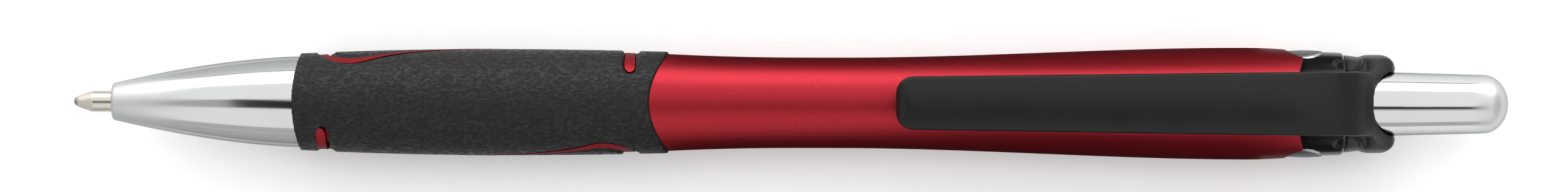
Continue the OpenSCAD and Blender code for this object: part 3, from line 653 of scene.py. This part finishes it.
# Black ABS from a polished mould: deep black with a clear shine, dulled a little where hands rub it.
polished_plastic, tree, shader, place = finish("black_abs_polished")
rub = add(tree, "ShaderNodeTexNoise", {"Vector": place, "Scale": 1 / (2.5 * mm), "Detail": 4, "Roughness": 0.6})
tone = add(tree, "ShaderNodeMix", {"Factor": rub.outputs["Fac"], "A": linear("#060607"), "B": linear("#0D0D0E")},
           data_type="RGBA")
blur = add(tree, "ShaderNodeMapRange", {"Value": rub.outputs["Fac"], "To Min": 0.14, "To Max": 0.24})
tree.links.new(tone.outputs["Result"], shader.inputs["Base Color"])
tree.links.new(blur.outputs["Result"], shader.inputs["Roughness"])
shader.inputs["Specular IOR Level"].default_value = 0.18
collar.data.materials.append(polished_plastic)
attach(collar, "housing")
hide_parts("cam_housing")

# Clip and end cap
# One black plastic moulding: a ring round the button, a root that arches up from it, and a long crowned clip.
clip_low, clip_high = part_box("clip")
clip_half_w = (clip_high.y - clip_low.y) / 2
crown_r = 10 * mm
arch_r = 12.3 * mm
arch_z = clip_high.z - arch_r
cap_end_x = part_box("end_cap")[1].x
arch_x = cap_end_x - math.sqrt(arch_r ** 2 - (axis_z - arch_z) ** 2)
crown_fall = crown_r - math.sqrt(crown_r ** 2 - clip_half_w ** 2)
wall_x = cap_end_x - 2.16 * mm
wall_z = axis_z + 3.05 * mm
foot_len = 2.5 * mm
foot_slope = 0.6
ridge_round = 1.2 * mm
neck_r = 4.95 * mm
neck_zone = 0.4 * mm
neck_shift = 0.1 * mm
clip = cad_copy("clip_and_cap_moulded", "end_cap", "clip")
softened(clip, plastic_grid, rounds=0, keep=1)

# The crown of the clip runs out smoothly down the arch of its root. Over a rounded ridge the arch turns into a steep
# wall over the button, whose foot curves out to the ring.
for vertex in clip.data.vertices:
    behind = vertex.co.x - arch_x
    if 0 < behind < arch_r and vertex.co.z > axis_z:
        arch_top = arch_z + math.sqrt(arch_r ** 2 - behind ** 2)
        crowned = max(0, 1 - (clip_high.z - arch_top) / (2 * crown_fall))
        fall = crown_r - math.sqrt(crown_r ** 2 - min(abs(vertex.co.y), clip_half_w) ** 2)
        vertex.co.z = min(vertex.co.z, arch_top - crowned * fall)
    foot = (wall_z - vertex.co.z) / foot_len
    if foot < 1:
        wall_here = wall_x + (cap_end_x - wall_x) * foot * (foot_slope + (1 - foot_slope) * max(0, foot))
        ridge = ridge_round * min(1, 1 - foot)
        near_ridge = max(0, 1 - abs(vertex.co.x - wall_here) / ridge)
        vertex.co.x = min(vertex.co.x, wall_here) - ridge * near_ridge ** 2 / 4
softened(clip, plastic_grid, rounds=12, keep=0.6)

# The neck closes up to the band.
for vertex in clip.data.vertices:
    off_axis = math.hypot(vertex.co.y, vertex.co.z - axis_z)
    behind_band = vertex.co.x - housing_high.x
    if 0 < behind_band < neck_zone and neck_r - neck_zone < off_axis < neck_r + hair:
        vertex.co.x -= neck_shift * (1 - behind_band / neck_zone)

# Black ABS from an etched mould: satin, very dark grey, with a fine even grain.
etch_size = 0.09 * mm
black_plastic, tree, shader, place = finish("black_abs_etched")
etch = add(tree, "ShaderNodeTexNoise", {"Vector": place, "Scale": 1 / etch_size, "Detail": 3})
rub = add(tree, "ShaderNodeTexNoise", {"Vector": place, "Scale": 1 / (3 * mm), "Detail": 4, "Roughness": 0.6})
tone = add(tree, "ShaderNodeMix", {"Factor": rub.outputs["Fac"], "A": linear("#0C0C0D"), "B": linear("#141415")},
           data_type="RGBA")
blur = add(tree, "ShaderNodeMapRange", {"Value": rub.outputs["Fac"], "To Min": 0.3, "To Max": 0.4})
relief = add(tree, "ShaderNodeBump", {"Height": etch.outputs["Fac"], "Strength": 0.15, "Distance": 0.01 * mm})
tree.links.new(tone.outputs["Result"], shader.inputs["Base Color"])
tree.links.new(blur.outputs["Result"], shader.inputs["Roughness"])
tree.links.new(relief.outputs["Normal"], shader.inputs["Normal"])
shader.inputs["Specular IOR Level"].default_value = 0.25
clip.data.materials.append(black_plastic)
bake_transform(clip)
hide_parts("end_cap", "clip")

# Push button
# A slightly tapered shell with a domed end, moulded in ABS and chrome plated, pressed onto the push rod.
button_low, button_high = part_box("push_button")
button_r = button_high.z - axis_z
dome_r = 2.97 * mm
dome_len = 2.52 * mm
socket_wall_r = 2.24 * mm
socket_end_x = button_low.x + 10.04 * mm
dome_x = button_high.x - dome_len
rub_from_x, rub_to_x = dome_x - 2 * mm, dome_x + 0.8 * mm
taper_steps, dome_steps = 8, 24
button_section = [(button_low.x, socket_wall_r), (button_low.x, button_r), (cap_end_x, button_r)]
for step in range(1, taper_steps + 1):
    share = step / taper_steps
    button_section.append((cap_end_x + (dome_x - cap_end_x) * share, button_r + (dome_r - button_r) * share))
for step in range(1, dome_steps + 1):
    a = math.pi / 2 * step / dome_steps
    button_section.append((dome_x + dome_len * math.sin(a), dome_r * math.cos(a) if step < dome_steps else 0))
button_section += [(socket_end_x, 0), (socket_end_x, socket_wall_r), button_section[0]]
button = turned("button_plated", button_section)

# The same plate, rubbed dull on the dome by thumbs.
rubbed_chrome = chrome.copy()
rubbed_chrome.name = "chrome_plate_thumb_worn"
tree = rubbed_chrome.node_tree
along = add(tree, "ShaderNodeSeparateXYZ", {"Vector": tree.nodes["Texture Coordinate"].outputs["Object"]})
rub = add(tree, "ShaderNodeMapRange", {"Value": along.outputs["X"], "From Min": rub_from_x,
                                       "From Max": rub_to_x, "To Min": 0.1, "To Max": 0.4},
          interpolation_type="SMOOTHSTEP")
tree.links.new(rub.outputs["Result"], tree.nodes["Principled BSDF"].inputs["Roughness"])
button.data.materials.append(rubbed_chrome)
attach(button, "button")
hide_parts("push_button")

# Badges
# Two plain oval plates, stamped from brass and plated with satin nickel, glued into the notches on the pen's flanks.
# Each is bent to the barrel's roundness and slightly domed.
badge_half_h = (badge_high.z - badge_low.z) / 2
badge_edge = 0.15 * mm
badge_dome = 0.1 * mm
badge_top = badge_high.y - badge_dome
badge_crease = 50
rings_in = 7
outwards = 0.9
bpy.ops.object.select_all(action="DESELECT")
bpy.ops.mesh.primitive_cylinder_add(vertices=badge_sides, radius=badge_half_len, depth=badge_top - badge_low.y,
                                    location=(badge_x, (badge_top + badge_low.y) / 2, axis_z),
                                    rotation=(-math.pi / 2, 0, 0))
badge = bpy.context.object
bpy.ops.object.transform_apply(location=True, rotation=True)
bpy.ops.object.mode_set(mode="EDIT")
bpy.ops.mesh.select_mode(type="FACE")
bpy.ops.mesh.select_all(action="DESELECT")
bpy.ops.object.mode_set(mode="OBJECT")
for face in badge.data.polygons:
    face.select = face.normal.y > outwards
bpy.ops.object.mode_set(mode="EDIT")
bpy.ops.mesh.inset(thickness=badge_edge)
for step in range(rings_in):
    bpy.ops.mesh.inset(thickness=(badge_half_len - badge_edge) / (rings_in + 1))
bpy.ops.mesh.select_all(action="SELECT")
bpy.ops.transform.resize(value=(1, 1, badge_half_h / badge_half_len), center_override=(badge_x, 0, axis_z))
bpy.ops.object.mode_set(mode="OBJECT")
for vertex in badge.data.vertices:
    if vertex.co.y > badge_top - hair:
        up, side = vertex.co.z - axis_z, vertex.co.x - badge_x
        off = math.hypot(up / badge_half_h, side / badge_half_len)
        drop = badge_edge if off > 1 - hair / badge_half_len else 0
        vertex.co.y = math.sqrt(badge_top ** 2 - up ** 2) + badge_dome * (1 - off * off) - drop
bpy.ops.object.shade_smooth_by_angle(angle=math.radians(badge_crease))

# Satin nickel on stamped brass: a soft grey shine, greyer than the chrome, with faint rolling lines.
satin_nickel, tree, shader, place = finish("satin_nickel_on_brass")
along = add(tree, "ShaderNodeMapping", {"Vector": place, "Scale": (0.06, 1, 1)})
rolled = add(tree, "ShaderNodeTexNoise", {"Vector": along.outputs["Vector"], "Scale": 1 / (0.2 * mm), "Detail": 3})
tone = add(tree, "ShaderNodeMix", {"Factor": rolled.outputs["Fac"], "A": linear("#B6B7B8"), "B": linear("#A3A4A5")},
           data_type="RGBA")
blur = add(tree, "ShaderNodeMapRange", {"Value": rolled.outputs["Fac"], "To Min": 0.3, "To Max": 0.4})
tree.links.new(tone.outputs["Result"], shader.inputs["Base Color"])
tree.links.new(blur.outputs["Result"], shader.inputs["Roughness"])
shader.inputs["Metallic"].default_value = 1
shader.inputs["Specular Tint"].default_value = linear("#969798")
badge.data.materials.append(satin_nickel)
badge.name = badge.data.name = "badge_left_stamped"
bpy.ops.object.duplicate()
other_badge = bpy.context.object
other_badge.name = other_badge.data.name = "badge_right_stamped"
bpy.ops.object.mode_set(mode="EDIT")
bpy.ops.mesh.select_all(action="SELECT")
bpy.ops.transform.mirror(constraint_axis=(False, True, False), center_override=(0, 0, 0))
bpy.ops.mesh.normals_make_consistent(inside=False)
bpy.ops.object.mode_set(mode="OBJECT")
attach(badge, "housing")
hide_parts("badge_left")
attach(other_badge, "housing")
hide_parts("badge_right")

# Floor
# A wide sheet of matt white card that the pen lies on.
floor_size = 6
bpy.ops.object.select_all(action="DESELECT")
bpy.ops.mesh.primitive_plane_add(size=floor_size)
floor = bpy.context.object
floor.name = floor.data.name = "floor_card"
card, tree, shader, place = finish("white_card_matt")
fibre = add(tree, "ShaderNodeTexNoise", {"Vector": place, "Scale": 1 / (2 * mm), "Detail": 3})
tone = add(tree, "ShaderNodeMix", {"Factor": fibre.outputs["Fac"], "A": linear("#F8F8F8"), "B": linear("#F4F4F4")},
           data_type="RGBA")
tree.links.new(tone.outputs["Result"], shader.inputs["Base Color"])
shader.inputs["Roughness"].default_value = 0.9
floor.data.materials.append(card)

# Light
# Two long soft boxes beside the camera with a dark gap between them, a low bright strip on the far side, a box that
# closes the gap over the button, a fill for the floor and an even surround. Each box spans two angles from upright.
box_distance = 0.6
room_end = 0.8
watts_per_area = 4
for name, low, high, low_x, high_x, glow in (("far_box", 6, 56, -room_end, room_end, 0.52),
                                             ("near_box", -18, -72, -room_end, room_end, 0.44),
                                             ("low_strip", 50, 84, -room_end, room_end, 2.1),
                                             ("gap_box", -9, 6, 0.11, room_end, 0.52)):
    tilt = math.radians((low + high) / 2)
    spread = math.radians(abs(high - low) / 2)
    bpy.ops.object.light_add(type="AREA", rotation=(-tilt, 0, 0),
                             location=((low_x + high_x) / 2, box_distance * math.sin(tilt),
                                       axis_z + box_distance * math.cos(tilt)))
    light = bpy.context.object
    light.name = light.data.name = name
    light.data.shape = "RECTANGLE"
    light.data.size = high_x - low_x
    light.data.size_y = 2 * box_distance * math.tan(spread)
    light.data.energy = watts_per_area * glow * light.data.size * light.data.size_y
    light.visible_camera = False

fill_size = 2.4
fill_height = 1.5
fill_glow = 0.35
bpy.ops.object.light_add(type="AREA", location=(0, 0, fill_height))
fill = bpy.context.object
fill.name = fill.data.name = "floor_fill"
fill.data.size = fill_size
fill.data.energy = watts_per_area * fill_glow * fill_size ** 2
fill.visible_camera = fill.visible_glossy = False

surround_glow = 0.65
world = bpy.data.worlds.new("studio_surround")
world.use_nodes = True
world.node_tree.nodes["Background"].inputs["Color"].default_value = (1, 1, 1, 1)
world.node_tree.nodes["Background"].inputs["Strength"].default_value = surround_glow
bpy.context.scene.world = world

# Cards seen only in reflections darken the pen's flanks: grey ones on the floor along the pen up to the button, dark
# ones beside and under the red barrel, and a dark one upright on each side of the clip.
card_end_x = -0.5
card_far_y = 0.3
button_x = 58 * mm
red_from_x, red_to_x, red_under_x = -13 * mm, 60 * mm, 48 * mm
grey_y, dark_y, under_y, upright_y = 11 * mm, 12 * mm, 2.4 * mm, 50 * mm
grey_up, dark_up, upright_up = 0.5 * mm, 0.6 * mm, 0.7 * mm
for name, shade, low_x, high_x, near_y, far_y, near_up, far_up in (
        ("grey_card_near", "#B0B0B0", card_end_x, button_x, -grey_y, -card_far_y, grey_up, grey_up),
        ("grey_card_far", "#C4C4C4", card_end_x, button_x, grey_y, card_far_y, grey_up, grey_up),
        ("dark_card_near", "#363636", red_from_x, red_to_x, -dark_y, -card_far_y, dark_up, dark_up),
        ("dark_card_far", "#4A4A4A", red_from_x, red_to_x, dark_y, card_far_y, dark_up, dark_up),
        ("dark_strip_near", "#363636", red_from_x, red_under_x, -under_y, -dark_y, dark_up, dark_up),
        ("dark_strip_far", "#4A4A4A", red_from_x, red_under_x, under_y, dark_y, dark_up, dark_up),
        ("side_card_near", "#1E1E1E", 11 * mm, red_to_x, -upright_y, -upright_y, upright_up, 34 * mm),
        ("side_card_far", "#1E1E1E", 18 * mm, red_to_x, upright_y, upright_y, upright_up, 24 * mm)):
    board, tree, shader, place = finish(name)
    shader.inputs["Base Color"].default_value = linear(shade)
    shader.inputs["Roughness"].default_value = 1
    bpy.ops.object.select_all(action="DESELECT")
    bpy.ops.mesh.primitive_plane_add(size=1)
    grey_card = bpy.context.object
    grey_card.name = grey_card.data.name = name
    for vertex in grey_card.data.vertices:
        vertex.co.x = low_x if vertex.co.x < 0 else high_x
        inner = vertex.co.y * near_y < 0
        vertex.co.y = near_y if inner else far_y
        vertex.co.z = near_up if inner else far_up
    grey_card.data.materials.append(board)
    grey_card.visible_camera = grey_card.visible_diffuse = grey_card.visible_shadow = False

# A flag of black felt over the gap between the boxes draws the dark line along the chrome. It is broad over the nose
# cone and narrow over the button; its edges are given as angles from upright.
flag_height = 0.64
flag_front_x, flag_rear_x = -0.275, 0.2
front_far, front_near = 7, -16
rear_far, rear_near = -12, -24
bpy.ops.object.select_all(action="DESELECT")
bpy.ops.mesh.primitive_plane_add(size=1)
flag = bpy.context.object
flag.name = flag.data.name = "dark_gap"
for vertex in flag.data.vertices:
    front = vertex.co.x < 0
    far = vertex.co.y > 0
    vertex.co.x = flag_front_x if front else flag_rear_x
    angle = (front_far if far else front_near) if front else (rear_far if far else rear_near)
    vertex.co.y = flag_height * math.tan(math.radians(angle))
    vertex.co.z = flag_height
felt, tree, shader, place = finish("black_felt")
shader.inputs["Base Color"].default_value = linear("#0A0A0A")
shader.inputs["Roughness"].default_value = 1
flag.data.materials.append(felt)
flag.visible_camera = flag.visible_shadow = False

# Camera
# Straight above the pen with a long lens, as in the photograph.
frame_w_px = 2576
mm_per_px = 0.061545
camera_height = 0.6
camera_x, camera_y = -0.7 * mm, 0.68 * mm
camera_turn = 0.12
bpy.ops.object.camera_add(location=(camera_x, camera_y, axis_z + camera_height),
                          rotation=(0, 0, math.radians(camera_turn)))
camera = bpy.context.object
camera.data.sensor_width = 36
camera.data.lens = camera.data.sensor_width * camera_height / (frame_w_px * mm_per_px * mm)
camera.data.clip_start = 0.05
bpy.context.scene.camera = camera
bpy.context.scene.view_settings.view_transform = "Standard"
